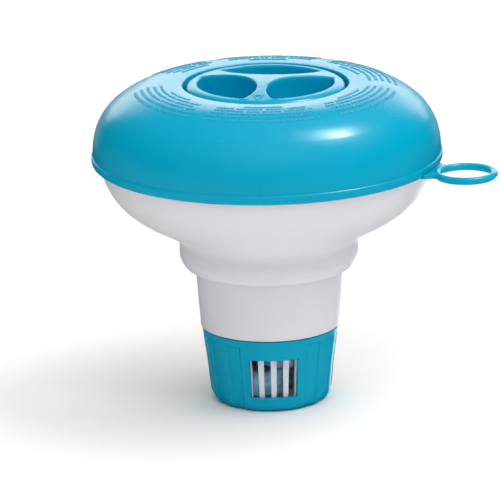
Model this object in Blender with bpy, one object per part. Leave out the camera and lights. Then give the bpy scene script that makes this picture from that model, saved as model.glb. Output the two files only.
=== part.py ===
"""Floating chlorine dispenser: dome, bowl and tube, turning vent collar, screw lid and tablets.

Metres, +Z up. The vent collar stands on the floor at z = 0 and the whole object turns about x = y = 0.
"""
import bpy
import bmesh
from math import atan2, cos, hypot, pi, radians, sin, sqrt
from mathutils import Matrix

MM = 0.001
TAU = 2.0 * pi
STEPS = 40                    # facets round the big turned pieces

# ---- driving dimensions, millimetres and degrees -------------------------------------------------
DOME_R = 88.3                 # dome radius just above the band
BAND_R = 89.0                 # rim band radius
BAND_Z = (125.2, 130.0)       # rim band, lower and upper edge
OPENING_R = 42.0              # opening in the dome top
DOME_TOP_Z = 165.1            # level of the dome top round the opening
LEDGE_Z = 158.0               # ledge the lid seal lies on
BORE_R = 39.4                 # neck bore, passes a three inch tablet
NECK_R = 42.6                 # outside of the neck under the dome
NECK_END_Z = 147.6            # lower end of the neck
WALL = 2.2                    # wall of dome and bowl
BOWL_RIM_R = 85.2             # outside of the bowl rim, inside the dome skirt
BOWL_RIM_Z = 127.6            # top of the bowl rim
SHOULDER_Z = 131.0            # shoulder in the dome that closes on the rim seal
COLLAR_R = 45.4               # cylindrical step below the bowl
COLLAR_TOP_Z = 82.6
LIP_R, LIP_Z = 42.6, 71.0     # sharp lower lip of that step
TUBE_TOP_R, TUBE_END_R = 37.4, 35.4
TUBE_END_Z = 39.3             # shoulder just above the vent collar
CANISTER_R = (39.6, 41.4)     # inner canister, inside and outside radius
CANISTER_Z = (75.4, 146.0)
CUP_TOP_Z = 38.7              # top of the vent collar
CUP_FLOOR = 1.8               # floor thickness of the vent collar
CUP_PROFILE = ((34.8, 38.7), (34.1, 32.8), (32.3, 19.7), (31.1, 7.6))
CUP_WALL = 1.7
CUP_GAP = 0.4                 # running clearance between vent collar and tube
GRILLE_WALL = 1.6             # tube wall behind the windows
WINDOW_Z = (8.8, 29.0)
WINDOW_HALF = 22.1            # half the angle of one window
WINDOW_AZ = -87.8             # front window, angle from +X
GRILLE_AZ = -86.7             # middle of the front group of slots
BEAD_Z = 36.8                 # snap bead that holds the vent collar on the tube
SLOT_PITCH = 11.25            # angle between neighbouring slots
SLOT_W = 3.3
SLOT_Z = (8.0, 30.6)
FLUTES = (37.5, 60.0, 82.5)   # flute centres, degrees from the window centre
FLUTE_HALF = 7.5
FLUTE_DEPTH = 0.8
VENT_TRAVEL = 60.0            # degrees from open to closed
STOP_R = 17.0                 # radius of the stop peg under the tube
RING_AZ = -20.8               # tether ring direction
RING_DIST = 106.1             # ring centre from the axis
RING_R = 14.2                 # to the middle of the ring section
RING_SECTION = 1.87
RING_Z = 125.7
TAB_Z = (124.5, 127.0)
TAB_HALF = 8.2                # half angle of the tab where it enters the rim
LID_R = 40.5
LID_EDGE_Z = 166.3
LID_CROWN = 1.8               # rise of the lid top to its middle
LID_UNDER_Z = 160.8           # underside of the lid flange
SKIRT_R = (37.1, 38.9)
SKIRT_END_Z = 149.0
POCKET_FLOOR_Z = 152.6
POCKET_R = 34.5               # outer arc of a finger pocket, about the lid axis
POCKET_C, POCKET_ARC = 35.3, 27.8   # centre distance and radius of its inner arc
POCKET_ROUND = 2.0
POCKET_WALL = 1.5
LID_TURN = 203.0              # direction of the first finger pocket
LEAD = 40.0                   # lid rise in one full turn
LUG_Z = 151.6                 # middle of a lug
LUG_H, LUG_HALF = 2.6, 10.0   # lug height and half angle
LUG_R, GROOVE_R = 40.3, 40.8
TABLET_R, TABLET_H = 12.5, 14.6
TABLET_RING = 14.65           # tablet centres from the axis
TABLET_Z = 6.2                # underside of the lowest layer
TABLET_BEVEL = 1.9
LAYERS = 4


# ---- small helpers ---------------------------------------------------------------------------------
def clear_scene():
    for ob in list(bpy.data.objects):
        bpy.data.objects.remove(ob, do_unlink=True)


def material(name, rgb, rough):
    mat = bpy.data.materials.new(name)
    mat.use_nodes = True
    bsdf = mat.node_tree.nodes["Principled BSDF"]
    bsdf.inputs["Base Color"].default_value = (*rgb, 1.0)
    bsdf.inputs["Roughness"].default_value = rough
    mat.diffuse_color = (*rgb, 1.0)
    return mat


def new_object(name, bm, mat=None, smooth=True):
    """Object from a bmesh drawn in millimetres."""
    bmesh.ops.recalc_face_normals(bm, faces=bm.faces)
    bmesh.ops.scale(bm, vec=(MM, MM, MM), verts=bm.verts)
    mesh = bpy.data.meshes.new(name)
    bm.to_mesh(mesh)
    bm.free()
    ob = bpy.data.objects.new(name, mesh)
    bpy.context.scene.collection.objects.link(ob)
    if mat:
        mesh.materials.append(mat)
    if smooth:
        mesh.shade_smooth()
        mesh.set_sharp_from_angle(angle=radians(32))
    return ob


def turned(name, loop, mat=None, steps=STEPS, centre=(0.0, 0.0)):
    """Closed (r, z) loop spun about the vertical; points with r = 0 lie on the axis."""
    bm = bmesh.new()
    cx, cy = centre
    verts = [bm.verts.new((cx + r, cy, z)) for r, z in loop]
    edges = [bm.edges.new((a, b)) for a, b in zip(verts, verts[1:] + verts[:1])
             if hypot(a.co.x - cx, b.co.x - cx) > 1e-6]
    bmesh.ops.spin(bm, geom=verts + edges, cent=(cx, cy, 0.0), axis=(0.0, 0.0, 1.0), angle=TAU,
                   steps=steps, use_merge=True)
    bmesh.ops.remove_doubles(bm, verts=bm.verts, dist=0.001)
    return new_object(name, bm, mat)


def prism(name, outline, z0, z1, mat=None, smooth=True):
    """Vertical prism: an (x, y) outline filled and extruded."""
    bm = bmesh.new()
    face = bm.faces.new([bm.verts.new((x, y, z0)) for x, y in outline])
    grown = bmesh.ops.extrude_face_region(bm, geom=[face])["geom"]
    moved = [v for v in grown if isinstance(v, bmesh.types.BMVert)]
    bmesh.ops.translate(bm, vec=(0.0, 0.0, z1 - z0), verts=moved)
    return new_object(name, bm, mat, smooth)


def sector(name, r0, r1, a0, a1, z0, z1, mat=None, step=2.5, rise=0.0):
    """Block swept from angle a0 to a1; rise lifts it by that much for every degree."""
    bm = bmesh.new()
    c, s = cos(radians(a0)), sin(radians(a0))
    corners = ((r0, z0), (r1, z0), (r1, z1), (r0, z1))
    face = bm.faces.new([bm.verts.new((r * c, r * s, z)) for r, z in corners])
    n = max(1, round((a1 - a0) / step))
    bmesh.ops.spin(bm, geom=[face], cent=(0.0, 0.0, 0.0), axis=(0.0, 0.0, 1.0),
                   dvec=(0.0, 0.0, rise * (a1 - a0) / n), angle=radians(a1 - a0), steps=n)
    return new_object(name, bm, mat, False)


def boolean(ob, tool, operation):
    tool.hide_render = True
    tool.display_type = 'WIRE'
    mod = ob.modifiers.new(tool.name, 'BOOLEAN')
    mod.operation = operation
    mod.solver = 'EXACT'
    mod.object = tool
    bpy.context.view_layer.update()
    graph = bpy.context.evaluated_depsgraph_get()
    mesh = bpy.data.meshes.new_from_object(ob.evaluated_get(graph))
    ob.modifiers.clear()
    ob.data = mesh
    bpy.data.objects.remove(tool, do_unlink=True)


def cut(ob, tool):
    boolean(ob, tool, 'DIFFERENCE')


def join(ob, tool):
    boolean(ob, tool, 'UNION')


def finish_mesh(ob):
    """Merge stray points and mark the hard edges."""
    bm = bmesh.new()
    bm.from_mesh(ob.data)
    bmesh.ops.remove_doubles(bm, verts=bm.verts, dist=0.004 * MM)
    bmesh.ops.dissolve_degenerate(bm, edges=bm.edges, dist=0.002 * MM)
    bmesh.ops.recalc_face_normals(bm, faces=bm.faces)
    bm.to_mesh(ob.data)
    bm.free()
    ob.data.shade_smooth()
    ob.data.set_sharp_from_angle(angle=radians(32))


def place(ob, x, y, z):
    """Origin of the object at a millimetre point, without moving the shape."""
    ob.data.transform(Matrix.Translation((-x * MM, -y * MM, -z * MM)))
    ob.location = (x * MM, y * MM, z * MM)


def polar(r, deg):
    return r * cos(radians(deg)), r * sin(radians(deg))


def offset(points, d):
    """Open (r, z) line moved sideways by d; positive d is to the right of travel."""
    out = []
    for k, (r, z) in enumerate(points):
        a = points[max(k - 1, 0)]
        b = points[min(k + 1, len(points) - 1)]
        tr, tz = b[0] - a[0], b[1] - a[1]
        n = hypot(tr, tz)
        out.append((r + d * tz / n, z - d * tr / n))
    return out


def radius_at(points, z):
    """Radius at height z on (r, z) points that run from top to bottom."""
    for (r0, z0), (r1, z1) in zip(points, points[1:]):
        if z1 <= z <= z0:
            return r1 + (r0 - r1) * (z - z1) / (z0 - z1)
    return points[0][0] if z > points[0][1] else points[-1][0]


# ---- profiles, outer faces from top to bottom ------------------------------------------------------
DOME_OUTER = [
    (48.0, 165.2), (54.0, 165.0), (58.0, 164.6), (62.0, 163.8), (66.0, 162.4), (70.0, 160.5),
    (74.0, 158.2), (78.0, 155.2), (80.0, 153.3), (82.0, 151.0), (84.0, 148.1), (86.0, 144.1),
    (87.0, 141.1), (87.9, 136.7), (DOME_R, 132.5)]
BOWL_OUTER = [
    (84.3, 122.0), (82.9, 118.0), (81.1, 114.0), (78.8, 110.0), (75.7, 106.0), (71.6, 102.0),
    (66.2, 98.0), (60.9, 95.0), (55.4, 92.0), (52.0, 90.0), (49.0, 88.0), (46.8, 86.0),
    (45.7, 84.4), (COLLAR_R, COLLAR_TOP_Z), (COLLAR_R, 77.6), (45.1, 75.8), (44.2, 73.4)]
TUBE_OUTER = [(37.0, 62.7), (36.3, 52.0), (35.5, 41.7), (TUBE_END_R, TUBE_END_Z)]
CUP_OUTER = list(CUP_PROFILE) + [(30.6, 4.6), (29.3, 2.0), (27.4, 0.5), (25.0, 0.0)]
CUP_INNER = [(r - CUP_WALL, z) for r, z in CUP_PROFILE] + [(28.5, 4.7), (27.0, 2.9), (24.8, CUP_FLOOR)]
GRILLE_OUTER = [(r - CUP_GAP, z) for r, z in CUP_INNER[:4]] + [(28.0, 5.1), (26.6, 3.4), (24.6, 2.3)]


# ---- float body -------------------------------------------------------------------------------------
def lug_block(name, start, r0, r1, before, after, half, mat=None):
    """Block along the thread helix, used for the lugs and for the grooves they run in."""
    z = LUG_Z - before * LEAD / 360.0
    return sector(name, r0, r1, start - before, start + after, z - half, z + half, mat,
                  step=5.0, rise=LEAD / 360.0)


def build_dome(mat):
    inner = offset(DOME_OUTER, WALL)[::2]
    loop = [(OPENING_R, DOME_TOP_Z - 0.5), (OPENING_R + 0.5, DOME_TOP_Z)]
    loop += DOME_OUTER
    loop += [(DOME_R, BAND_Z[1] + 0.2), (BAND_R, BAND_Z[1] - 0.4), (BAND_R, 127.4),
             (88.5, 125.9), (87.3, BAND_Z[0]), (86.0, BAND_Z[0]), (85.6, 125.6),
             (85.6, SHOULDER_Z), (82.4, SHOULDER_Z), (82.4, 133.8)]
    loop += inner[::-1]
    loop += [(45.6, 162.9), (44.2, 161.6), (44.2, 156.6), (NECK_R, 155.2),
             (NECK_R, NECK_END_Z), (BORE_R, NECK_END_Z), (BORE_R, LEDGE_Z - 0.4),
             (BORE_R + 0.4, LEDGE_Z), (OPENING_R, LEDGE_Z)]
    dome = turned("dome_shell", loop, mat)
    for start in (30.0, 150.0, 270.0):
        cut(dome, lug_block("groove", start, BORE_R - 1.0, GROOVE_R, LUG_HALF + 1.2, 87.0,
                            LUG_H / 2 + 0.4))
    for k in range(6):
        mid = 30.0 + 60.0 * k
        join(dome, sector("dash", 48.4, 50.4, mid - 12.0, mid + 12.0, 164.0, 165.6))
    notch = TAB_HALF + 0.5
    cut(dome, sector("notch", 84.6, 90.5, RING_AZ - notch, RING_AZ + notch, 124.0, 127.4))
    for side in (-5.0, 5.0):
        cut(dome, turned("hole", [(0, 126.8), (1.15, 126.8), (1.15, 129.6), (0, 129.6)], None, 12,
                         polar(87.15, RING_AZ + side)))
    finish_mesh(dome)
    return dome


def build_ring(mat):
    cx, cy = polar(RING_DIST, RING_AZ)
    section = [(RING_R + RING_SECTION * cos(TAU * k / 12), RING_Z + RING_SECTION * sin(TAU * k / 12))
               for k in range(12)]
    ring = turned("tether_ring", section, mat, 36, (cx, cy))
    side = [(90.2, 11.2), (92.0, 10.3), (93.4, 10.1)]
    outline = [polar(85.9, RING_AZ - TAB_HALF), polar(89.2, RING_AZ - TAB_HALF)]
    ca, sa = cos(radians(RING_AZ)), sin(radians(RING_AZ))

    def local(u, w):
        return u * ca - w * sa, u * sa + w * ca
    outline += [local(u, -w) for u, w in side]
    for k in range(9):
        deg = 180.0 + 46.0 - 92.0 * k / 8
        outline.append(local(RING_DIST + RING_R * cos(radians(deg)), RING_R * sin(radians(deg))))
    outline += [local(u, w) for u, w in side[::-1]]
    outline += [polar(89.2, RING_AZ + TAB_HALF), polar(85.9, RING_AZ + TAB_HALF)]
    outline += [polar(85.9, RING_AZ + a) for a in (4.1, 0.0, -4.1)]
    join(ring, prism("tab", outline, *TAB_Z))
    for side in (-5.0, 5.0):
        join(ring, turned("peg", [(0, 126.0), (0.8, 126.0), (0.8, 129.2), (0, 129.2)], None, 12,
                          polar(87.15, RING_AZ + side)))
    finish_mesh(ring)
    return ring


def build_bowl(mat):
    bowl_in = offset(BOWL_OUTER, WALL)[::2]
    tube_in = [(r - WALL, z) for r, z in TUBE_OUTER[:3:2]]
    grille_in = [(r - GRILLE_WALL, z) for r, z in GRILLE_OUTER[:4]] + [(26.6, 6.0), (25.2, 4.7)]
    loop = [(BOWL_RIM_R, BOWL_RIM_Z), (BOWL_RIM_R, 125.4)] + BOWL_OUTER
    loop += [(43.2, 71.9), (LIP_R, LIP_Z), (41.6, 70.8), (38.8, 71.0), (37.8, 70.3), (TUBE_TOP_R, 69.0)]
    loop += TUBE_OUTER
    loop += [(GRILLE_OUTER[0][0], TUBE_END_Z), (32.55, BEAD_Z + 0.9), (33.2, BEAD_Z + 0.4),
             (33.2, BEAD_Z - 0.4), (32.4, BEAD_Z - 1.0)]
    loop += GRILLE_OUTER[1:]
    loop += [(0.0, 2.3), (0.0, 4.1), (12.0, 4.1), (12.0, 5.9), (14.0, 5.9), (14.0, 4.1), (23.2, 4.1)]
    loop += grille_in[::-1]
    loop += [(31.9, 40.6)] + tube_in[::-1]
    loop += [(35.2, 72.6), (36.0, 73.6), (41.4, 73.6), (42.7, 75.0)]
    loop += [p for p in bowl_in[::-1] if p[1] > 76.5]
    loop += [(82.9, 125.6), (82.9, BOWL_RIM_Z)]
    bowl = turned("bowl_shell", loop, mat)
    z0, z1 = SLOT_Z
    for k in range(12):
        mid = GRILLE_AZ + 120.0 * (k // 4) + SLOT_PITCH * (k % 4 - 1.5)
        c, s = cos(radians(mid)), sin(radians(mid))
        h = SLOT_W / 2
        box = [(24.0 * c + h * s, 24.0 * s - h * c), (36.0 * c + h * s, 36.0 * s - h * c),
               (36.0 * c - h * s, 36.0 * s + h * c), (24.0 * c - h * s, 24.0 * s + h * c)]
        cut(bowl, prism("slot", box, z0, z1, None, False))
    join(bowl, turned("stop", [(0, 0.7), (1.2, 0.7), (1.5, 1.0), (1.5, 3.0), (0, 3.0)], None, 14,
                      polar(STOP_R, 90.0)))
    finish_mesh(bowl)
    return bowl


def build_seal(name, r0, r1, z0, z1, mat):
    """Flat rubber ring."""
    return turned(name, [(r0, z1), (r1, z1), (r1, z0), (r0, z0)], mat)


def build_canister(mat):
    r0, r1 = CANISTER_R
    z0, z1 = CANISTER_Z
    loop = [(r0, z1), (r1, z1), (r1, z0), (r0, z0)]
    return turned("inner_canister", loop, mat)


# ---- moving pieces -----------------------------------------------------------------------------------
def lens(grow, turn):
    """Finger pocket outline: two arcs with rounded corners, turned to its place."""
    rho = POCKET_ROUND + grow
    ra, rb, d = POCKET_R + grow, POCKET_ARC + grow, POCKET_C
    x = (d * d + (ra - rho) ** 2 - (rb - rho) ** 2) / (2 * d)
    y = sqrt((ra - rho) ** 2 - x * x)
    alpha, gamma = atan2(y, x), atan2(y, x - d)
    pts = []
    for k in range(13):
        a = -alpha + 2 * alpha * k / 12
        pts.append((ra * cos(a), ra * sin(a)))
    for k in range(1, 5):
        a = alpha + (gamma - alpha) * k / 5
        pts.append((x + rho * cos(a), y + rho * sin(a)))
    for k in range(17):
        a = gamma + 2 * (pi - gamma) * k / 16
        pts.append((d + rb * cos(a), rb * sin(a)))
    for k in range(1, 5):
        a = -gamma + (gamma - alpha) * k / 5
        pts.append((x + rho * cos(a), -y + rho * sin(a)))
    c, s = cos(radians(turn)), sin(radians(turn))
    return [(px * c - py * s, px * s + py * c) for px, py in pts]


def build_lid(mat):
    top = LID_EDGE_Z + LID_CROWN
    r0, r1 = SKIRT_R
    loop = [(0.0, top), (12.0, top - 0.16), (24.0, top - 0.7), (33.0, top - 1.25), (37.7, top - 1.6),
            (39.3, top - 2.1), (40.2, top - 3.0), (LID_R, top - 4.2), (LID_R, LID_UNDER_Z + 0.4),
            (LID_R - 0.4, LID_UNDER_Z), (r1, LID_UNDER_Z), (r1, SKIRT_END_Z + 0.4),
            (r1 - 0.4, SKIRT_END_Z), (r0 + 0.4, SKIRT_END_Z), (r0, SKIRT_END_Z + 0.4), (r0, 162.8),
            (35.9, 164.3), (24.0, top - 2.8), (0.0, top - 2.1)]
    lid = turned("lid", loop, mat)
    for k in range(3):
        turn = LID_TURN + 120.0 * k
        join(lid, prism("cup", lens(POCKET_WALL, turn), POCKET_FLOOR_Z - POCKET_WALL, 166.15))
        cut(lid, prism("pocket", lens(0.0, turn), POCKET_FLOOR_Z, 175.0))
    for start in (30.0, 150.0, 270.0):
        join(lid, lug_block("lug", start, r1 - 0.7, LUG_R, LUG_HALF, LUG_HALF, LUG_H / 2))
    finish_mesh(lid)
    return lid


def flute_cutter(mid):
    """Shallow upright groove that follows the taper of the cup and runs out at its foot."""
    levels = [CUP_TOP_Z - 3.4, 19.7, 7.6, 4.6, -1.0]
    bm = bmesh.new()
    rings = []
    for z in levels:
        r = radius_at(CUP_OUTER, max(z, 4.6)) - FLUTE_DEPTH
        inside = [polar(r, mid - FLUTE_HALF + FLUTE_HALF * k / 2) for k in range(5)]
        outside = [polar(40.0, mid + FLUTE_HALF - FLUTE_HALF * k / 2) for k in range(5)]
        ring = [bm.verts.new((x, y, z)) for x, y in inside + outside]
        rings.append([bm.edges.new((a, b)) for a, b in zip(ring, ring[1:] + ring[:1])])
    for low, high in zip(rings, rings[1:]):
        bmesh.ops.bridge_loops(bm, edges=low + high)
    bmesh.ops.contextual_create(bm, geom=rings[0])
    bmesh.ops.contextual_create(bm, geom=rings[-1])
    return new_object("flute", bm, None, False)


def build_vent_collar(mat):
    groove = [(32.95, BEAD_Z + 1.25), (33.65, BEAD_Z + 0.75), (33.65, BEAD_Z - 0.75),
              (32.8, BEAD_Z - 1.35)]
    loop = [(34.4, CUP_TOP_Z), (34.75, 38.3)] + CUP_OUTER[1:] + [(0.0, 0.0), (0.0, CUP_FLOOR)]
    loop += CUP_INNER[:0:-1] + groove[::-1] + [(33.1, 38.3), (33.5, CUP_TOP_Z)]
    cup = turned("vent_collar", loop, mat)
    z0, z1 = WINDOW_Z
    for k in range(3):
        mid = WINDOW_AZ + 120.0 * k
        cut(cup, sector("window", 26.0, 38.0, mid - WINDOW_HALF, mid + WINDOW_HALF, z0, z1))
        for turn in FLUTES:
            cut(cup, flute_cutter(mid + turn))
    spare = 7.0
    cut(cup, sector("arc_slot", STOP_R - 2.0, STOP_R + 2.0, 90.0 - VENT_TRAVEL - spare, 90.0 + spare,
                    -1.0, CUP_FLOOR + 1.0))
    finish_mesh(cup)
    return cup


def build_tablets(mat):
    """Four layers of three tablets, every layer turned against the one below."""
    b, r = TABLET_BEVEL, TABLET_R
    for k in range(3 * LAYERS):
        layer = k // 3
        z0 = TABLET_Z + layer * (TABLET_H + 0.35)
        z1 = z0 + TABLET_H
        loop = [(0, z1), (r - b, z1), (r, z1 - b), (r, z0 + b), (r - b, z0), (0, z0)]
        deg = 12.0 + 120.0 * (k % 3) + 43.0 * layer
        x, y = polar(TABLET_RING, deg)
        tablet = turned("tablet_%02d" % (k + 1), loop, mat, 18, (x, y))
        place(tablet, x, y, z0)


def main():
    clear_scene()
    blue = material("blue_plastic", (0.0, 0.42, 0.62), 0.3)
    teal = material("vent_blue_plastic", (0.0, 0.32, 0.5), 0.35)
    white = material("white_plastic", (0.72, 0.71, 0.76), 0.4)
    rubber = material("grey_rubber", (0.05, 0.055, 0.06), 0.8)
    chalk = material("chlorine_tablet", (0.78, 0.82, 0.84), 0.95)
    build_dome(blue)
    build_ring(blue)
    build_bowl(white)
    build_canister(white)
    build_seal("rim_seal", 82.9, 85.2, BOWL_RIM_Z + 0.3, SHOULDER_Z - 0.3, rubber)
    build_seal("canister_top_seal", 39.5, 42.2, CANISTER_Z[1] + 0.3, NECK_END_Z - 0.3, rubber)
    build_seal("canister_bottom_seal", 38.6, 41.2, 73.9, CANISTER_Z[0] - 0.3, rubber)
    build_seal("lid_seal", 39.3, 41.4, LEDGE_Z + 0.3, LID_UNDER_Z - 0.3, rubber)
    place(bpy.data.objects["lid_seal"], 0.0, 0.0, LEDGE_Z + 0.3)
    lid = build_lid(blue)
    place(lid, 0.0, 0.0, LID_UNDER_Z)
    cup = build_vent_collar(teal)
    place(cup, 0.0, 0.0, 0.0)
    build_tablets(chalk)


main()
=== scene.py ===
"""Looks of the floating chlorine dispenser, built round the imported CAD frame."""
import random
from math import atan2, cos, hypot, pi, radians, sin, sqrt

import bmesh
import bpy
from mathutils import Matrix, Vector, noise
from mathutils.geometry import delaunay_2d_cdt


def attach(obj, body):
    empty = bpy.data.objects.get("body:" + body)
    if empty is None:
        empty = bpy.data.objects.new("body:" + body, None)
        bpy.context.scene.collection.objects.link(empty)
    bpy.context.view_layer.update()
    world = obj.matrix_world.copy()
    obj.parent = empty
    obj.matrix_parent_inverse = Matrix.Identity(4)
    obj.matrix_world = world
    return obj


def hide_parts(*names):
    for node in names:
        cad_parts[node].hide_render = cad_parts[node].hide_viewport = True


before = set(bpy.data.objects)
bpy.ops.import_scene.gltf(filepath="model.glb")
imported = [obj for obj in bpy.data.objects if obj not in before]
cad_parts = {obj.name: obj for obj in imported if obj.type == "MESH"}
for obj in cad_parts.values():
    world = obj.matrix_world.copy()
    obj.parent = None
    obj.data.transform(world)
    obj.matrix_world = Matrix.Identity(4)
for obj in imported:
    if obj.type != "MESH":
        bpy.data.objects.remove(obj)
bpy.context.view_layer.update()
MM = 0.001
TAU = 2.0 * pi
FINE = 192                      # steps round the large turned pieces

# ---- sizes, in millimetres and degrees -----------------------------------------------------------
# Heights are above the floor. Azimuths count from +x towards +y, so the photo's side is near -90.
SHELL_WALL = 2.2                # dome and bowl
RIM_POINTS = 4                  # last points of the dome's line, which run down its rim band
RING_AZ, RING_DIST, RING_Z = -20.8, 106.1, 125.7        # middle of the tether ring
RING_R = 14.2                   # ring, middle of its section
RING_SECTION = 1.91             # half the ring's thickness before smoothing, which takes a little off
TAB_Z, TAB_HALF, TAB_INNER = (124.5, 127.0), 8.2, 85.95
NECK_LUGS = (30.0, 150.0, 270.0)    # azimuths of the lid's lugs and the neck's grooves
THREAD_Z = 151.6                # middle of lug and groove at those azimuths
THREAD_PITCH = 9.0              # degrees of turn for each millimetre of rise: a lead of 40 mm
GROOVE_LEAD_IN, GROOVE_TURN, LUG_HALF = 11.2, 87.0, 10.0
GRILLE_AZ, SLOT_PITCH, SLOTS, SLOTS_EACH = -87.9, 12.0, 12, 4
SLOT_SIZE, SLOT_R, SLOT_Z = (12.0, 3.5, 23.4), 30.0, 18.9
WINDOW_AZ, WINDOW_HALF, WINDOW_Z = -87.8, 22.1, (8.0, 28.6)
FLUTES, FLUTE_HALF, FLUTE_DEPTH, FLUTE_TOP = (37.5, 60.0, 82.5), 7.5, 0.75, 35.3
CUP_WALL = 1.7
CUP_FLOOR = 1.8                 # height of the cup's floor, inside
CUP_DEGREE = 0.57               # millimetres for each degree at the cup's wall
LID_TURN = 203.0                # azimuth of one finger pocket
POCKET_OUT, POCKET_IN, POCKET_SHIFT = 34.5, 27.8, 35.3  # a pocket's two arcs, and how far apart
POCKET_LIP = 1.2                # how far outside a pocket's wall its rounded lip starts
RIM_R = 37.4                    # edge of the lid's crowned plate


# ---- mesh helpers --------------------------------------------------------------------------------
def smooth_line(points, per):
    """Catmull-Rom curve through (r, z) points; repeated points make a corner."""
    out = []
    for k in range(len(points) - 1):
        p1, p2 = points[k], points[k + 1]
        if p1 == p2:
            continue
        p0 = points[k - 1] if k else p1
        p3 = points[k + 2] if k + 2 < len(points) else p2
        for j in range(per):
            t = j / per
            out.append(tuple(0.5 * (2 * b + (c - a) * t + (2 * a - 5 * b + 4 * c - d) * t * t
                                    + (3 * b - a - 3 * c + d) * t ** 3)
                             for a, b, c, d in zip(p0, p1, p2, p3)))
    out.append(points[-1])
    return out


def offset(points, d):
    """Open (r, z) line moved sideways by d; positive d is to the right of travel."""
    out = []
    for k, (r, z) in enumerate(points):
        a, b = points[max(k - 1, 0)], points[min(k + 1, len(points) - 1)]
        tr, tz = b[0] - a[0], b[1] - a[1]
        n = hypot(tr, tz) or 1.0
        out.append((r + d * tz / n, z - d * tr / n))
    return out


def new_piece(name, bm, mat, body, nodes=(), sharp=35.0):
    """Object from a bmesh in millimetres, riding on a body and standing for CAD nodes."""
    bmesh.ops.recalc_face_normals(bm, faces=bm.faces)
    bmesh.ops.scale(bm, vec=(MM, MM, MM), verts=bm.verts)
    mesh = bpy.data.meshes.new(name)
    bm.to_mesh(mesh)
    bm.free()
    mesh.materials.append(mat)
    mesh.shade_smooth()
    mesh.set_sharp_from_angle(angle=radians(sharp))
    ob = bpy.data.objects.new(name, mesh)
    bpy.context.scene.collection.objects.link(ob)
    if body:
        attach(ob, body)
    if nodes:
        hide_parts(*nodes)
    return ob


def shade(ob, sharp):
    """Smooth shading again after a boolean, with edges above so many degrees kept sharp."""
    ob.data.shade_smooth()
    ob.data.set_sharp_from_angle(angle=radians(sharp))


def spin_loop(bm, loop, steps=FINE, centre=(0.0, 0.0)):
    """Closed (r, z) loop spun about the vertical through centre."""
    cx, cy = centre
    verts = [bm.verts.new((cx + r, cy, z)) for r, z in loop]
    edges = [bm.edges.new((a, b)) for a, b in zip(verts, verts[1:] + verts[:1])
             if max(hypot(v.co.x - cx, v.co.y - cy) for v in (a, b)) > 1e-6]
    bmesh.ops.spin(bm, geom=verts + edges, cent=(cx, cy, 0.0), axis=(0.0, 0.0, 1.0), angle=TAU,
                   steps=steps, use_merge=True)
    bmesh.ops.remove_doubles(bm, verts=bm.verts, dist=0.0005)


def polar(r, deg):
    """x and y of a radius and an azimuth."""
    return r * cos(radians(deg)), r * sin(radians(deg))


def radius_at(points, z):
    """Radius at height z on (r, z) points that run from top to bottom."""
    for (r0, z0), (r1, z1) in zip(points, points[1:]):
        if z1 <= z <= z0:
            return r1 + (r0 - r1) * (z - z1) / max(z0 - z1, 1e-9)
    return points[0][0] if z > points[0][1] else points[-1][0]


def height_on(line, r):
    """Height at radius r on (r, z) points that run from the middle outwards."""
    for (r0, z0), (r1, z1) in zip(line, line[1:]):
        if r0 <= r <= r1:
            return z0 + (z1 - z0) * (r - r0) / (r1 - r0)
    return line[0][1] if r < line[0][0] else line[-1][1]


def ease(x):
    """Smooth step from 0 to 1."""
    x = min(max(x, 0.0), 1.0)
    return x * x * (3.0 - 2.0 * x)


def tool_from(bm, name):
    """Plain object from a bmesh in millimetres, for a boolean to use up."""
    bmesh.ops.recalc_face_normals(bm, faces=bm.faces)
    bmesh.ops.scale(bm, vec=(MM, MM, MM), verts=bm.verts)
    mesh = bpy.data.meshes.new(name)
    bm.to_mesh(mesh)
    bm.free()
    ob = bpy.data.objects.new(name, mesh)
    bpy.context.scene.collection.objects.link(ob)
    return ob


def sweep(bm, r0, r1, a0, a1, z0, z1, step=2.0, rise=0.0):
    """Block swept from angle a0 to a1; rise lifts it by that much for every degree."""
    c, s = cos(radians(a0)), sin(radians(a0))
    corners = ((r0, z0), (r1, z0), (r1, z1), (r0, z1))
    face = bm.faces.new([bm.verts.new((r * c, r * s, z)) for r, z in corners])
    n = max(1, round((a1 - a0) / step))
    bmesh.ops.spin(bm, geom=[face], cent=(0.0, 0.0, 0.0), axis=(0.0, 0.0, 1.0),
                   dvec=(0.0, 0.0, rise * (a1 - a0) / n), angle=radians(a1 - a0), steps=n)


def boolean(ob, tool, operation):
    """Add a tool to an object or cut it away, and remove the tool."""
    mod = ob.modifiers.new(tool.name, 'BOOLEAN')
    mod.operation, mod.solver, mod.object = operation, 'EXACT', tool
    bake(ob)
    bpy.data.objects.remove(tool, do_unlink=True)


def bake(ob):
    """Apply the modifiers of an object to its mesh."""
    bpy.context.view_layer.update()
    graph = bpy.context.evaluated_depsgraph_get()
    mesh = bpy.data.meshes.new_from_object(ob.evaluated_get(graph))
    ob.modifiers.clear()
    ob.data = mesh


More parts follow.
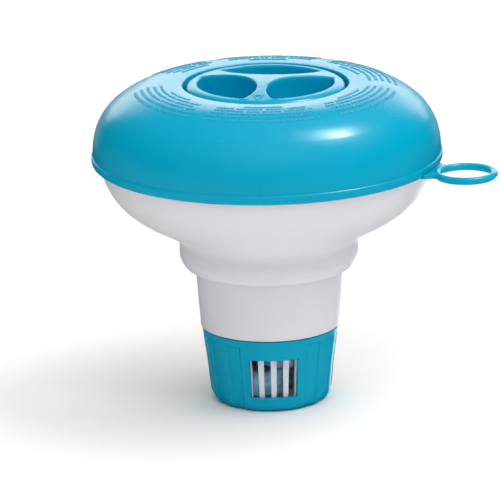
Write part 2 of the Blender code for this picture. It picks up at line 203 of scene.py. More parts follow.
# ---- materials -----------------------------------------------------------------------------------
def plastic(name, light, dark, rough, shine=0.5, scatter=0.0, bump=0.06, grain=900.0):
    """Moulded plastic: faint colour drift, uneven gloss and a fine moulded grain."""
    mat = bpy.data.materials.new(name)
    mat.use_nodes = True
    nodes, links = mat.node_tree.nodes, mat.node_tree.links
    bsdf = nodes["Principled BSDF"]
    coord = nodes.new("ShaderNodeTexCoord")
    drift = nodes.new("ShaderNodeTexNoise")
    drift.inputs["Scale"].default_value = 14.0
    drift.inputs["Detail"].default_value = 3.0
    links.new(coord.outputs["Object"], drift.inputs["Vector"])
    ramp = nodes.new("ShaderNodeValToRGB")
    ramp.color_ramp.interpolation = 'EASE'
    ramp.color_ramp.elements[0].position = 0.15
    ramp.color_ramp.elements[0].color = (*dark, 1.0)
    ramp.color_ramp.elements[1].position = 0.85
    ramp.color_ramp.elements[1].color = (*light, 1.0)
    links.new(drift.outputs["Fac"], ramp.inputs["Fac"])
    links.new(ramp.outputs["Color"], bsdf.inputs["Base Color"])
    fine = nodes.new("ShaderNodeTexNoise")
    fine.inputs["Scale"].default_value = grain
    fine.inputs["Detail"].default_value = 2.0
    links.new(coord.outputs["Object"], fine.inputs["Vector"])
    gloss = nodes.new("ShaderNodeMapRange")
    gloss.inputs["To Min"].default_value = rough - 0.05
    gloss.inputs["To Max"].default_value = rough + 0.07
    links.new(drift.outputs["Fac"], gloss.inputs["Value"])
    links.new(gloss.outputs["Result"], bsdf.inputs["Roughness"])
    relief = nodes.new("ShaderNodeBump")
    relief.inputs["Strength"].default_value = bump
    relief.inputs["Distance"].default_value = 0.0002
    links.new(fine.outputs["Fac"], relief.inputs["Height"])
    links.new(relief.outputs["Normal"], bsdf.inputs["Normal"])
    bsdf.inputs["IOR"].default_value = 1.49
    bsdf.inputs["Specular IOR Level"].default_value = shine
    if scatter:
        bsdf.inputs["Subsurface Weight"].default_value = scatter
        bsdf.inputs["Subsurface Radius"].default_value = (1.0, 0.9, 1.0)
        bsdf.inputs["Subsurface Scale"].default_value = 0.006
    return mat


def painted_shade_chalk():
    """Pressed chlorine tablet: dusty, grainy, coarsely speckled; its pale and dark blue are painted
    shade and blue light from the vent cup.
    """
    mat = plastic("pressed_chlorine_painted_blue_shade", (0.46, 0.76, 0.90), (0.05, 0.27, 0.42), 0.85, bump=0.5,
                  grain=700.0)
    mat.node_tree.nodes["Noise Texture"].inputs["Scale"].default_value = 210.0
    return mat


BLUE = plastic("blue_polypropylene", (0.0, 0.365, 0.565), (0.0, 0.352, 0.545), 0.25, shine=0.22)
LID_BLUE = plastic("lid_polypropylene", (0.0, 0.360, 0.560), (0.0, 0.347, 0.540), 0.25, shine=0.22)
MARKS = plastic("mark_polypropylene", (0.02, 0.380, 0.570), (0.01, 0.365, 0.550), 0.45, shine=0.22)
TEAL = plastic("vent_polypropylene", (0.0, 0.375, 0.560), (0.0, 0.360, 0.540), 0.32, shine=0.14)
WHITE = plastic("white_polypropylene", (0.82, 0.81, 0.875), (0.79, 0.78, 0.845), 0.36, shine=0.4,
                scatter=0.35)
RUBBER = plastic("seal_silicone", (0.055, 0.16, 0.2), (0.045, 0.13, 0.17), 0.6, bump=0.1)
# Tablet material whose blue and dark tones are painted shade and painted blue light from inside the vent
# cup, on white tablets.
PAINTED_SHADE_CHALK = painted_shade_chalk()

# ---- dome ----------------------------------------------------------------------------------------
DOME_LINE = [
    (46.0, 165.15), (50.0, 165.2), (54.0, 165.0), (58.0, 164.6), (62.0, 163.8), (66.0, 162.4),
    (70.0, 160.5), (74.0, 158.2), (78.0, 155.2), (80.0, 153.3), (82.0, 151.0), (84.0, 148.1),
    (86.0, 144.1), (87.0, 141.1), (87.9, 136.7), (88.3, 132.5), (88.3, 130.7)]


def build_dome():
    """Dome shell with its rim band, the neck inside it, the thread's grooves and the tab's notch."""
    outer = smooth_line(DOME_LINE, 4)
    inner = offset(outer[:-RIM_POINTS], SHELL_WALL)
    loop = [(42.0, 164.3), (42.1, 164.75), (42.4, 165.05), (43.0, 165.15)] + outer
    loop += [(88.3, 130.3), (88.4, 130.05), (88.75, 129.85), (88.95, 129.5), (89.0, 129.0),
             (89.0, 127.6), (88.8, 126.6), (88.35, 125.7), (87.7, 125.3), (87.0, 125.2),
             (86.0, 125.2), (85.7, 125.35), (85.6, 125.7), (85.6, 131.0), (82.4, 131.0), (82.4, 133.8)]
    loop += inner[::-1]
    loop += [(45.6, 162.9), (44.6, 162.6), (44.2, 161.8), (44.2, 156.6), (43.6, 155.8), (42.6, 155.2),
             (42.6, 147.6), (39.4, 147.6), (39.4, 157.6), (39.5, 157.9), (39.8, 158.0),
             (41.6, 158.0), (41.9, 158.1), (42.0, 158.4)]
    bm = bmesh.new()
    spin_loop(bm, loop)
    dome = new_piece("dome", bm, BLUE, "float_body", ("dome_shell",))
    for start in NECK_LUGS:
        boolean(dome, groove_tool(start), 'DIFFERENCE')
    notch = bmesh.new()
    sweep(notch, 84.6, 90.5, RING_AZ - TAB_HALF - 0.5, RING_AZ + TAB_HALF + 0.5, 124.0, 127.4)
    boolean(dome, tool_from(notch, "notch"), 'DIFFERENCE')
    shade(dome, 35.0)


def groove_tool(start):
    """One groove of the neck's triple thread."""
    bm = bmesh.new()
    z = THREAD_Z - GROOVE_LEAD_IN / THREAD_PITCH
    sweep(bm, 38.4, 40.8, start - GROOVE_LEAD_IN, start + GROOVE_TURN, z - 1.7, z + 1.7, 2.0,
          1.0 / THREAD_PITCH)
    return tool_from(bm, "groove")


def raised_bar(bm, line, r, half, a0, a1, top):
    """Small raised bar with sloping sides that follows a turned surface between two angles."""
    slope, sunk = 0.14, -0.25
    n = max(1, round((a1 - a0) * r * pi / 180.0 / 1.6))
    rows = []
    for k in range(n + 1):
        deg = a0 + (a1 - a0) * k / n
        row = []
        for dr, dz in ((-half, sunk), (-half + slope, top), (half - slope, top), (half, sunk)):
            x, y = polar(r + dr, deg)
            row.append(bm.verts.new((x, y, height_on(line, r + dr) + dz)))
        rows.append(row)
    for a, b in zip(rows, rows[1:]):
        for j in range(4):
            bm.faces.new((a[j], b[j], b[(j + 1) % 4], a[(j + 1) % 4]))
    bm.faces.new(rows[0])
    bm.faces.new(rows[-1][::-1])


MARK_GROUPS = ((1.0, 55.0), (61.0, 115.0), (120.0, 154.0), (181.0, 235.0), (241.0, 295.0),
               (301.0, 355.0))
MARK_ROWS, MARK_HALF = (52.8, 56.1, 59.4, 62.7, 66.0), 0.85


def build_marks():
    """Plain raised bars on the dome: groups of five rows, and one longer bar inside each group."""
    rng = random.Random(7)
    line = smooth_line(DOME_LINE, 4)
    bm = bmesh.new()
    for first, last in MARK_GROUPS:
        mid = (first + last) / 2.0
        raised_bar(bm, line, 49.4, MARK_HALF, mid - 11.0, mid + 11.0, 0.26)
        for r in MARK_ROWS:
            deg = first + rng.uniform(0.0, 3.0)
            end = last - rng.uniform(0.0, 5.0)
            per = 180.0 / pi / r
            while deg < end:
                for _ in range(rng.randint(3, 8)):
                    width = rng.uniform(0.9, 1.9) * per
                    if deg + width > end:
                        break
                    raised_bar(bm, line, r, MARK_HALF, deg, deg + width, 0.24)
                    deg += width + 0.45 * per
                deg += 1.3 * per
    new_piece("dome_marks", bm, MARKS, "float_body", ())


# ---- tether ring ---------------------------------------------------------------------------------
def build_ring():
    """Ring, tab and two pegs, joined by a fine remesh that rounds the places where they meet."""
    bm = bmesh.new()
    section = [(RING_R + RING_SECTION * cos(TAU * k / 24), RING_Z + RING_SECTION * sin(TAU * k / 24))
               for k in range(24)]
    spin_loop(bm, section, 120, polar(RING_DIST, RING_AZ))
    ring = new_piece("tether_loop", bm, BLUE, "float_body", ("tether_ring",))
    ca, sa = cos(radians(RING_AZ)), sin(radians(RING_AZ))

    def local(u, w):
        return u * ca - w * sa, u * sa + w * ca

    side = [(89.4, 11.9), (90.2, 11.2), (91.1, 10.6), (92.1, 10.2), (93.3, 10.1), (94.3, 10.2)]
    outline = [polar(TAB_INNER, RING_AZ - TAB_HALF), polar(89.2, RING_AZ - TAB_HALF)]
    outline += [local(u, -w) for u, w in side]
    for k in range(17):
        a = radians(226.0 - 92.0 * k / 16)
        outline.append(local(RING_DIST + (RING_R - 0.6) * cos(a), (RING_R - 0.6) * sin(a)))
    outline += [local(u, w) for u, w in side[::-1]]
    outline += [polar(89.2, RING_AZ + TAB_HALF), polar(TAB_INNER, RING_AZ + TAB_HALF)]
    outline += [polar(TAB_INNER, RING_AZ + a) for a in (4.1, 0.0, -4.1)]
    tab = bmesh.new()
    face = tab.faces.new([tab.verts.new((x, y, TAB_Z[0] + 0.05)) for x, y in outline])
    grown = bmesh.ops.extrude_face_region(tab, geom=[face])["geom"]
    moved = [v for v in grown if isinstance(v, bmesh.types.BMVert)]
    bmesh.ops.translate(tab, vec=(0.0, 0.0, TAB_Z[1] - TAB_Z[0] - 0.1), verts=moved)
    boolean(ring, tool_from(tab, "tab"), 'UNION')
    for deg in (-5.0, 5.0):
        peg = bmesh.new()
        spin_loop(peg, [(0, 126.0), (0.8, 126.0), (0.8, 129.0), (0.6, 129.2), (0, 129.2)], 24,
                  polar(87.15, RING_AZ + deg))
        boolean(ring, tool_from(peg, "peg"), 'UNION')
    remesh = ring.modifiers.new("remesh", 'REMESH')
    remesh.mode, remesh.voxel_size = 'VOXEL', 0.3 * MM
    soft = ring.modifiers.new("soft", 'SMOOTH')
    soft.factor, soft.iterations = 0.5, 4
    bake(ring)
    ring.data.shade_smooth()


# ---- bowl, collar step, tube and grille ----------------------------------------------------------
BOWL_LINE = [
    (85.2, 127.0), (85.2, 125.2), (84.3, 122.0), (82.9, 118.0), (81.1, 114.0), (78.8, 110.0),
    (75.7, 106.0), (71.6, 102.0), (66.2, 98.0), (60.9, 95.0), (55.4, 92.0), (52.0, 90.0),
    (49.0, 88.0), (46.9, 86.1), (45.8, 84.3), (45.4, 82.6)]
STEP_LINE = [
    (45.4, 82.6), (45.4, 80.0), (45.4, 77.6), (45.1, 75.8), (44.3, 73.7), (43.3, 71.9), (42.75, 71.1)]
CUP_LINE = [(34.8, 38.7), (34.1, 32.8), (32.3, 19.7), (31.1, 7.6)]


def build_bowl():
    """Bowl, collar step, tube and floor as one turned shell, with the grille's slots cut through."""
    bowl = smooth_line(BOWL_LINE, 4)
    step = smooth_line(STEP_LINE, 3)
    tube = [(37.4, 69.0), (37.0, 62.7), (36.3, 52.0), (35.5, 41.7), (35.4, 39.7), (35.2, 39.35)]
    grille = [(r - 2.1, z) for r, z in CUP_LINE]
    loop = [(85.0, 127.6)] + bowl + step[1:]
    loop += [(42.6, 70.95), (42.3, 70.85), (41.6, 70.8), (40.0, 70.9), (38.7, 70.75), (37.9, 70.25),
             (37.5, 69.6)] + tube
    loop += [(32.8, 39.3), (32.7, 38.7), (32.55, 37.7), (33.1, 37.3), (33.2, 37.0), (33.1, 36.5),
             (32.4, 35.8)] + grille[1:]
    loop += [(28.8, 6.4), (28.0, 5.1), (27.4, 4.1), (26.6, 3.4), (25.8, 2.7), (24.6, 2.3), (0.0, 2.3),
             (0.0, 4.1), (12.0, 4.1), (12.0, 5.9), (14.0, 5.9), (14.0, 4.1), (23.2, 4.1), (25.2, 4.7),
             (26.6, 6.0)]
    loop += [(r - 1.6, z) for r, z in grille[::-1]]
    loop += [(31.9, 40.6)] + [(r - SHELL_WALL, z) for r, z in tube[3::-1]]
    loop += [(35.2, 72.6), (36.0, 73.6), (41.4, 73.6), (42.7, 75.0), (43.2, 77.6), (43.2, 82.6)]
    loop += [p for p in offset(bowl, SHELL_WALL)[::-1] if 83.0 < p[1] < 124.0 and p[0] < 82.6]
    loop += [(82.9, 125.6), (82.9, 127.4), (83.1, 127.6)]
    bm = bmesh.new()
    spin_loop(bm, loop)
    ob = new_piece("bowl", bm, WHITE, "float_body", ("bowl_shell",), 28.0)
    slots = bmesh.new()
    for k in range(SLOTS):
        mid = GRILLE_AZ + 120.0 * (k // SLOTS_EACH) + SLOT_PITCH * (k % SLOTS_EACH - 1.5)
        made = bmesh.ops.create_cube(slots, size=1.0)["verts"]
        spot = Matrix.Rotation(radians(mid), 4, 'Z') @ Matrix.Translation((SLOT_R, 0.0, SLOT_Z))
        bmesh.ops.transform(slots, matrix=spot @ Matrix.Diagonal((*SLOT_SIZE, 1.0)), verts=made)
    edges = [e for e in slots.edges if abs(e.verts[0].co.z - e.verts[1].co.z) > 1.0]
    bmesh.ops.bevel(slots, geom=edges, offset=0.35, segments=2, affect='EDGES')
    boolean(ob, tool_from(slots, "slots"), 'DIFFERENCE')
    shade(ob, 28.0)


# ---- vent collar ---------------------------------------------------------------------------------
CUP_OUT = [(34.45, 38.7), (34.7, 38.55), (34.78, 38.2)] + CUP_LINE[1:] + [
    (30.95, 5.9), (30.6, 4.5), (30.0, 3.1), (29.2, 1.9), (28.3, 1.0), (27.3, 0.4), (26.2, 0.08),
    (25.0, 0.0)]
CUP_INNER_Z = (4.8, 38.4)       # heights between which the cup's inside runs along its outside


def from_window(deg):
    """Angle from the middle of the nearest window."""
    return (deg - WINDOW_AZ + 60.0) % 120.0 - 60.0


def cup_relief(deg, z):
    """How far the cup's outside stands in (flutes) or out (window frames) at a place."""
    turn = abs(from_window(deg))
    beside = 0.0 if turn <= WINDOW_HALF + 0.01 else min((turn - WINDOW_HALF) * CUP_DEGREE, 9.0)
    away = hypot(max(WINDOW_Z[0] - z, z - WINDOW_Z[1], 0.0), beside)
    value = 0.28 * (1.0 - ease((away - 0.75) / 0.45))
    past = (deg - WINDOW_AZ) % 120.0
    for mid in FLUTES:
        side = abs(past - mid)
        if side < FLUTE_HALF + 1.0 and z < FLUTE_TOP + 0.6:
            across = ease((FLUTE_HALF - side) * CUP_DEGREE / 0.7 + 0.3)
            down = ease((FLUTE_TOP - z) / 0.9 + 0.3)
            value -= FLUTE_DEPTH * across * down
    return value


def angle_grid():
    """Angles of the cup's mesh lines, closer together at the edges of windows and flutes."""
    marks = []
    for k in range(3):
        base = WINDOW_AZ + 120.0 * k
        for a in (-WINDOW_HALF, WINDOW_HALF):
            marks += [base + a + d for d in (-2.4, -1.9, -1.4, -0.9, 0.0, 0.9, 1.4, 1.9, 2.4)]
        for mid in FLUTES:
            for a in (-FLUTE_HALF, FLUTE_HALF):
                marks += [base + mid + a + d for d in (-1.3, -0.8, -0.4, 0.0, 0.4, 0.8)]
        marks += [base - WINDOW_HALF + 4.0 * j for j in range(1, 11)]
        for mid in FLUTES:
            marks += [base + mid + d for d in (-4.0, -1.5, 1.5, 4.0)]
    marks = sorted(m % 360.0 for m in marks)
    out = []
    for m in marks:
        if not out or m - out[-1] > 0.12:
            out.append(m)
    return out


def build_cup():
    """Vent cup: a walled cup with three windows, framed windows and flutes, and its stop's slot."""
    outer = []
    for (r0, z0), (r1, z1) in zip(CUP_OUT, CUP_OUT[1:]):
        n = max(1, int(hypot(r1 - r0, z1 - z0) / 0.8))
        outer += [(r0 + (r1 - r0) * j / n, z0 + (z1 - z0) * j / n) for j in range(n)]
    outer.append(CUP_OUT[-1])
    extra = [WINDOW_Z[0] + d for d in (-1.3, -1.0, -0.7, 0.0)]
    extra += [WINDOW_Z[1] + d for d in (0.0, 0.7, 1.0, 1.3)]
    extra += [FLUTE_TOP + d for d in (0.3, 0.0, -0.3, -0.6)]
    levels = sorted({round(z, 3) for _, z in outer} | {round(z, 3) for z in extra}, reverse=True)
    outer = [(radius_at(CUP_OUT, z), z) for z in levels if z > 0.0]
    inner = [(r - CUP_WALL, z) for r, z in outer if CUP_INNER_Z[0] < z < CUP_INNER_Z[1]]
    angles = angle_grid()
    bm = bmesh.new()
    out_rows = [[bm.verts.new((*polar(r + cup_relief(a, z), a), z)) for a in angles] for r, z in outer]
    in_rows = [[bm.verts.new((*polar(r, a), z)) for a in angles] for r, z in inner]
    n = len(angles)
    middles = [angles[k] + ((angles[(k + 1) % n] - angles[k]) % 360.0) / 2 for k in range(n)]
    cut = [abs(from_window(a)) < WINDOW_HALF for a in middles]

    def at_window(z):
        return WINDOW_Z[0] - 0.01 <= z <= WINDOW_Z[1] + 0.01

    def is_open(k, z0, z1):
        return cut[k] and at_window(z0) and at_window(z1)

    def band(upper, lower, z0=0.0, z1=0.0):
        """Faces between two rows, apart from the windows."""
        for k in range(n):
            if not is_open(k, z0, z1):
                bm.faces.new((upper[k], upper[(k + 1) % n], lower[(k + 1) % n], lower[k]))

    for rows, line in ((out_rows, outer), (in_rows, inner)):
        for a, b, (_, z0), (_, z1) in zip(rows, rows[1:], line, line[1:]):
            band(a, b, z0, z1)
    shift = next(i for i, (_, z) in enumerate(outer) if z < CUP_INNER_Z[1])
    for i, (_, z) in enumerate(inner):
        if not at_window(z):
            continue
        o, w = out_rows[i + shift], in_rows[i]
        below = inner[i + 1][1]
        for k in range(n):
            if is_open(k, z, below) != is_open(k - 1, z, below):
                bm.faces.new((o[k], w[k], in_rows[i + 1][k], out_rows[i + 1 + shift][k]))
            if cut[k] and min(abs(z - WINDOW_Z[0]), abs(z - WINDOW_Z[1])) < 0.01:
                bm.faces.new((o[k], o[(k + 1) % n], w[(k + 1) % n], w[k]))

    def close(row, ring):
        """Turned surface from a row through (r, z) points; gives its last row."""
        for r, z in ring:
            fresh = [bm.verts.new((*polar(r, a), z)) for a in angles]
            band(row, fresh)
            row = fresh
        return row

    last = close(out_rows[0], [(33.6, 38.7), (33.3, 38.6)])
    band(last, in_rows[0])
    inside = close(in_rows[-1], [(28.6, 4.6), (28.0, 3.5), (27.0, 2.7), (25.9, 2.1)]
                   + [(r, CUP_FLOOR) for r in (24.8, 21.0, 19.0, 15.0)])
    under = close(out_rows[-1], [(r, 0.0) for r in (25.0, 24.4, 19.0, 15.0)])
    for ring, z in ((inside, CUP_FLOOR), (under, 0.0)):
        middle = bm.verts.new((0.0, 0.0, z))
        for k in range(n):
            bm.faces.new((ring[k], ring[(k + 1) % n], middle))
    bmesh.ops.remove_doubles(bm, verts=bm.verts, dist=0.002)
    cup = new_piece("vent_cup", bm, TEAL, "vent_collar", ("vent_collar",), 40.0)
    slot = bmesh.new()
    sweep(slot, 15.2, 18.8, 23.0, 97.0, -1.0, 3.0)
    boolean(cup, tool_from(slot, "arc_slot"), 'DIFFERENCE')
    shade(cup, 40.0)


# ---- lid -----------------------------------------------------------------------------------------
LID_TOP = [
    (0.0, 168.1), (8.0, 168.0), (16.0, 167.62), (24.0, 167.02), (31.0, 166.33), (RIM_R, 165.57)]
LID_SHOULDER = [(37.9, 165.44), (38.5, 165.22)]


def lens(grow, turn, rho=1.7):
    """Finger pocket outline: two arcs with rounded corners, turned to its place."""
    rho = max(rho + grow, 0.5)
    ra, rb, d = POCKET_OUT + grow, POCKET_IN + grow, POCKET_SHIFT
    x = (d * d + (ra - rho) ** 2 - (rb - rho) ** 2) / (2 * d)
    y = sqrt((ra - rho) ** 2 - x * x)
    alpha, gamma = atan2(y, x), atan2(y, x - d)
    pts = []
    for k in range(33):
        a = -alpha + 2 * alpha * k / 32
        pts.append((ra * cos(a), ra * sin(a)))
    for k in range(1, 9):
        a = alpha + (gamma - alpha) * k / 9
        pts.append((x + rho * cos(a), y + rho * sin(a)))
    for k in range(41):
        a = gamma + 2 * (pi - gamma) * k / 40
        pts.append((d + rb * cos(a), rb * sin(a)))
    for k in range(1, 9):
        a = -gamma + (gamma - alpha) * k / 9
        pts.append((x + rho * cos(a), -y + rho * sin(a)))
    c, s = cos(radians(turn)), sin(radians(turn))
    return [(px * c - py * s, px * s + py * c) for px, py in pts]


def inside_lens(x, y, turn, grow):
    c, s = cos(radians(turn)), sin(radians(turn))
    u, v = x * c + y * s, -x * s + y * c
    return hypot(u, v) < POCKET_OUT + grow and hypot(u - POCKET_SHIFT, v) < POCKET_IN + grow


def build_lid():
    """Lid: a crowned plate meshed round three pockets, with their walls, the rim and the lugs."""
    turns = [LID_TURN + 120.0 * k for k in range(3)]
    lip = POCKET_LIP
    rim = [polar(RIM_R, 360.0 * k / FINE) for k in range(FINE)]
    outlines = [lens(lip, t) for t in turns]
    pts, cons = list(rim), [(k, (k + 1) % FINE) for k in range(FINE)]
    for line in outlines:
        first = len(pts)
        pts += line
        cons += [(first + k, first + (k + 1) % len(line)) for k in range(len(line))]
    for grow in (0.5, 1.1):
        for t in turns:
            pts += [p for p in lens(lip + grow, t) if hypot(*p) < RIM_R - 0.5
                    and not any(inside_lens(*p, o, lip + grow - 0.01) for o in turns if o != t)]
    pts += [polar(RIM_R - 0.55, 360.0 * k / FINE) for k in range(FINE)]
    for j in range(-32, 33):
        for i in range(-30, 31):
            x, y = 1.3 * i + 0.65 * (j % 2), 1.126 * j
            if hypot(x, y) < RIM_R - 1.2 and not any(inside_lens(x, y, t, lip + 1.7) for t in turns):
                pts.append((x, y))
    verts2d, _, faces, orig, _, _ = delaunay_2d_cdt([Vector(p) for p in pts], cons, [], 0, 1e-4)
    bm = bmesh.new()
    plate = [bm.verts.new((v.x, v.y, height_on(LID_TOP, hypot(v.x, v.y)))) for v in verts2d]
    under = [bm.verts.new((v.co.x, v.co.y, v.co.z - 2.0)) for v in plate]
    for f in faces:
        cx, cy = (sum(verts2d[i][a] for i in f) / len(f) for a in (0, 1))
        if hypot(cx, cy) < RIM_R and not any(inside_lens(cx, cy, t, lip - 0.03) for t in turns):
            bm.faces.new([plate[i] for i in f])
            bm.faces.new([under[i] for i in reversed(f)])
    number = {}
    for new, olds in enumerate(orig):
        for old in olds:
            number[old] = new

    def loft(ring, levels):
        for row in levels:
            fresh = [bm.verts.new(p) for p in row]
            for k in range(len(ring)):
                bm.faces.new((ring[k], ring[(k + 1) % len(ring)], fresh[(k + 1) % len(ring)], fresh[k]))
            ring = fresh
        return ring

    edge = LID_SHOULDER + [
        (39.1, 164.88), (39.7, 164.38), (40.15, 163.7), (40.43, 162.9), (40.5, 162.1), (40.5, 161.2),
        (40.4, 160.9), (40.1, 160.8), (38.9, 160.8), (38.9, 149.4), (38.8, 149.1), (38.5, 149.0),
        (37.5, 149.0), (37.2, 149.1), (37.1, 149.4), (37.1, 161.9), (37.25, 162.8)]
    last = loft([plate[number[k]] for k in range(FINE)],
                [[(*polar(r, 360.0 * k / FINE), z) for k in range(FINE)] for r, z in edge])
    for k in range(FINE):
        n = (k + 1) % FINE
        bm.faces.new((last[k], last[n], under[number[n]], under[number[k]]))
    first = FINE
    for t, line in zip(turns, outlines):
        ring = [plate[number[first + k]] for k in range(len(line))]
        outside = loft([under[number[first + k]] for k in range(len(line))],
                       [[(x, y, z) for x, y in lens(grow, t)] for grow, z in (
                           (1.55, 163.2), (1.65, 162.6), (1.65, 151.9), (1.2, 151.3), (0.6, 151.1))])
        bm.faces.new(outside)
        first += len(line)
        rows = []
        for grow, dz, rho in ((0.9, -0.04, 1.5), (0.6, -0.18, 1.3), (0.32, -0.5, 1.0),
                              (0.12, -1.0, 0.8), (0.02, -1.6, 0.7), (-0.05, -3.0, 0.6)):
            rows.append([(x, y, height_on(LID_TOP, hypot(x, y)) + dz) for x, y in lens(grow, t, rho)])
        for grow, z, rho in ((-0.15, 160.0, 0.7), (-0.25, 154.4, 0.7), (-0.5, 153.5, 2.0),
                             (-1.1, 152.85, 2.0), (-1.9, 152.6, 2.0)):
            rows.append([(x, y, z) for x, y in lens(grow, t, rho)])
        bm.faces.new(loft(ring, rows))
    bmesh.ops.delete(bm, geom=[v for v in bm.verts if not v.link_faces], context='VERTS')
    lid = new_piece("lid_cap", bm, LID_BLUE, "lid", ("lid",), 40.0)
    for start in NECK_LUGS:
        lug = bmesh.new()
        z = THREAD_Z - LUG_HALF / THREAD_PITCH
        sweep(lug, 38.3, 40.3, start - LUG_HALF, start + LUG_HALF, z - 1.3, z + 1.3, 2.0,
              1.0 / THREAD_PITCH)
        boolean(lid, tool_from(lug, "lug"), 'UNION')
    shade(lid, 40.0)


def build_lid_marks():
    """Raised outline of a triangle on the front rib, and a plain raised bar on each side of it."""
    bm = bmesh.new()
    mid = LID_TURN + 60.0
    line = LID_TOP + LID_SHOULDER
    for a0, a1 in ((-15.0, -7.5), (7.5, 17.0)):
        raised_bar(bm, line, 36.2, 0.6, mid + a0, mid + a1, 0.22)
    corners = [polar(37.8, mid), polar(29.6, mid - 6.2), polar(29.6, mid + 6.2)]
    cx, cy = (sum(p[a] for p in corners) / 3 for a in (0, 1))
    rows = []
    for grow, dz in ((1.0, -0.25), (0.93, 0.3), (0.55, 0.3), (0.48, -0.25)):
        rows.append([bm.verts.new((cx + (x - cx) * grow, cy + (y - cy) * grow,
                                   height_on(line, hypot(x, y)) + dz)) for x, y in corners])
    for a, b in zip(rows, rows[1:] + rows[:1]):
        for k in range(3):
            bm.faces.new((a[k], a[(k + 1) % 3], b[(k + 1) % 3], b[k]))
    new_piece("lid_marks", bm, MARKS, "lid", ())


# ---- tablets and seals ---------------------------------------------------------------------------
def build_tablets():
    """Twelve pressed tablets in layers of three, with worn edges and a lumpy surface."""
    radius, height, layer_height, lowest = 12.15, 14.6, 14.95, 6.2
    corner = [(0.0, 0.3), (5.0, 0.3), (9.6, 0.3), (10.6, 0.5), (11.5, 1.1)]
    for k in range(12):
        layer = k // 3
        z0 = lowest + layer * layer_height
        z1 = z0 + height
        deg = 12.0 + 120.0 * (k % 3) + 43.0 * layer
        x, y = polar(14.65, deg)
        loop = [(r, z1 - dz) for r, dz in corner]
        loop += [(radius, z1 - 2.0 - 10.6 * j / 8) for j in range(9)]
        loop += [(r, z0 + dz) for r, dz in corner[::-1]]
        bm = bmesh.new()
        spin_loop(bm, loop, 64, (x, y))
        for v in bm.verts:
            out = Vector((v.co.x - x, v.co.y - y, v.co.z - (z0 + z1) / 2))
            seed = Vector((k * 7.3, 0.0, 0.0))
            bump = noise.noise(v.co * 0.45 + seed) * 0.45 + noise.noise(v.co * 1.6 + seed) * 0.25
            v.co += out.normalized() * (min(bump, 0.25) - 0.1)
        new_piece("tablet_look_%02d" % (k + 1), bm, PAINTED_SHADE_CHALK, "float_body", ("tablet_%02d" % (k + 1),),
                  60.0)


def build_lid_seal():
    bm = bmesh.new()
    section = [(40.35 + 1.03 * cos(a), 159.4 + 1.08 * sin(a)) for a in (TAU * k / 24 for k in range(24))]
    spin_loop(bm, section)
    new_piece("lid_gasket", bm, RUBBER, "lid_seal", ("lid_seal",))


# ---- stage ---------------------------------------------------------------------------------------
def soft_sun(name, source, strength, spread):
    """Broad even light that shows in no reflection."""
    data = bpy.data.lights.new(name, 'SUN')
    data.energy, data.angle = strength, radians(spread)
    lamp = bpy.data.objects.new(name, data)
    lamp.rotation_euler = (-Vector(source)).to_track_quat('-Z', 'Y').to_euler()
    lamp.visible_glossy = False
    bpy.context.scene.collection.objects.link(lamp)


def reflection_card(name, size, place, aim, power, turn=0.0, tint=(1.0, 1.0, 1.0)):
    """Bright card that shows in reflections only; turn is about the vertical through its middle."""
    data = bpy.data.lights.new(name, 'AREA')
    data.shape, data.size, data.size_y, data.energy = 'RECTANGLE', size[0], size[1], power
    data.color = tint
    lamp = bpy.data.objects.new(name, data)
    look = (Vector(aim) - Vector(place)).to_track_quat('-Z', 'Y').to_matrix().to_4x4()
    lamp.matrix_world = Matrix.Translation(place) @ Matrix.Rotation(radians(turn), 4, 'Z') @ look
    lamp.visible_diffuse = lamp.visible_camera = False
    bpy.context.scene.collection.objects.link(lamp)


WARM = (1.0, 0.92, 0.82)
SHOULDER = (0.04, -0.06, 0.15)          # the strips aim at the dome's shoulder
CARDS = (
    # name, size, place, aim, power, turn, tint
    ("strip_bright", (0.14, 0.07), (0.478, 0.060, 0.98), SHOULDER, 5.4, 20.0),
    ("strip", (0.26, 0.07), (0.392, 0.020, 0.98), SHOULDER, 2.6, 25.0),
    ("strip_end", (0.34, 0.09), (0.28, -0.035, 0.98), SHOULDER, 0.55, 30.0),
    ("backdrop", (2.8, 0.6), (0.1, 2.2, 0.66), (0.1, 0.0, 0.15), 15.5, 0.0, WARM),
    ("backdrop_high", (2.8, 0.54), (0.1, 2.2, 1.23), (0.1, 0.0, 0.15), 8.0, 0.0, WARM),
    ("backdrop_low", (2.8, 0.72), (0.1, 2.2, 0.0), (0.1, 0.0, 0.0), 2.2, 0.0, (1.0, 0.96, 0.90)),
    ("under_right", (0.55, 0.16), (0.36, 0.87, -0.31), (0.03, 0.0, 0.02), 1.3),
    ("under_left", (0.2, 0.16), (-0.22, 0.90, -0.31), (-0.03, 0.0, 0.02), 0.5))
SUNS = (
    # name, where it comes from, strength, spread
    ("top", (0.0, 0.0, 1.0), 0.46, 50.0),
    ("top_right", (0.72, 0.0, 1.0), 1.17, 38.0),
    ("front_right", (0.5, -0.8, 0.5), 0.47, 60.0),
    ("front_left", (-0.5, -0.8, 0.5), 0.22, 60.0),
    ("front_top", (0.0, -0.7, 1.0), 0.66, 40.0),
    ("back_top", (0.2, 0.7, 1.0), 0.42, 40.0))


def build_stage():
    """Wide plain floor, surround and lights."""
    bm = bmesh.new()
    bmesh.ops.create_grid(bm, x_segments=8, y_segments=8, size=14000.0)
    mat = plastic("paper_floor", (0.94, 0.93, 0.912), (0.93, 0.92, 0.902), 0.9, bump=0.02)
    floor = new_piece("floor", bm, mat, None)
    floor.visible_glossy = False
    build_world()
    for card in CARDS:
        reflection_card(*card)
    for sun in SUNS:
        soft_sun(*sun)


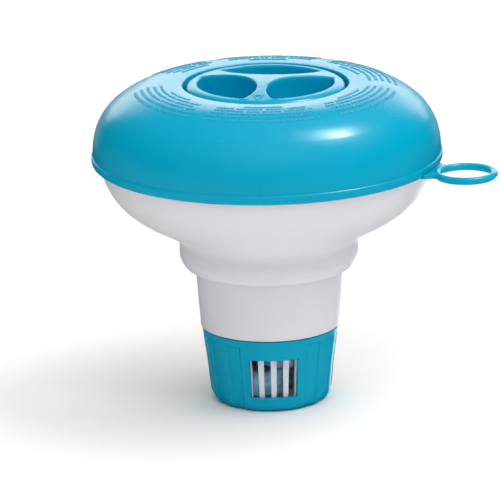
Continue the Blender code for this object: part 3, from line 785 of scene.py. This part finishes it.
def build_world():
    """Studio surround: soft light overhead, nearly dark at the horizon, black below it."""
    world = bpy.data.worlds.new("studio")
    world.use_nodes = True
    nodes, links = world.node_tree.nodes, world.node_tree.links
    coord = nodes.new("ShaderNodeTexCoord")
    split = nodes.new("ShaderNodeSeparateXYZ")
    links.new(coord.outputs["Generated"], split.inputs["Vector"])

    def step(low, high, at_low, at_high):
        """Smooth change with height, from one strength to another."""
        node = nodes.new("ShaderNodeMapRange")
        node.interpolation_type = 'SMOOTHSTEP'
        for name, value in (("From Min", low), ("From Max", high), ("To Min", at_low),
                            ("To Max", at_high)):
            node.inputs[name].default_value = value
        links.new(split.outputs["Z"], node.inputs["Value"])
        return node.outputs["Result"]

    both = nodes.new("ShaderNodeMath")
    both.operation = 'MULTIPLY'
    links.new(step(0.35, 0.70, 0.04, 0.55), both.inputs[0])
    links.new(step(-0.08, 0.0, 0.0, 1.0), both.inputs[1])
    links.new(both.outputs["Value"], nodes["Background"].inputs["Strength"])
    nodes["Background"].inputs["Color"].default_value = (1.0, 1.0, 1.0, 1.0)
    bpy.context.scene.world = world
    world.cycles_visibility.glossy = False
    bpy.context.scene.view_settings.view_transform = 'Standard'


def build_camera():
    """Camera at the photo's viewing angle; its picture is 500 / 1.965 mm wide at the target."""
    distance = 3.0
    cam = bpy.data.cameras.new("camera")
    cam.sensor_width = 36.0
    cam.clip_end = 60.0
    cam.lens = 1.965 * distance * 1000.0 / 500.0 * 36.0
    ob = bpy.data.objects.new("camera", cam)
    rise = radians(15.9)
    target = Vector((-0.0096, 0.0, 0.0777))
    ob.location = target + distance * Vector((0.0, -cos(rise), sin(rise)))
    look = (target - ob.location).to_track_quat('-Z', 'Y').to_matrix().to_4x4()
    ob.matrix_world = Matrix.Translation(ob.location) @ look @ Matrix.Rotation(radians(-1.2), 4, 'Z')
    bpy.context.scene.collection.objects.link(ob)
    bpy.context.scene.camera = ob


def dress(node, mat):
    """Procedural material on a CAD node that stays."""
    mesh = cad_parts[node].data
    mesh.materials.clear()
    mesh.materials.append(mat)


build_dome()
build_marks()
build_ring()
build_bowl()
build_cup()
build_lid()
build_lid_marks()
build_tablets()
build_lid_seal()
dress("inner_canister", WHITE)
for seal in ("rim_seal", "canister_top_seal", "canister_bottom_seal"):
    dress(seal, RUBBER)
build_stage()
build_camera()
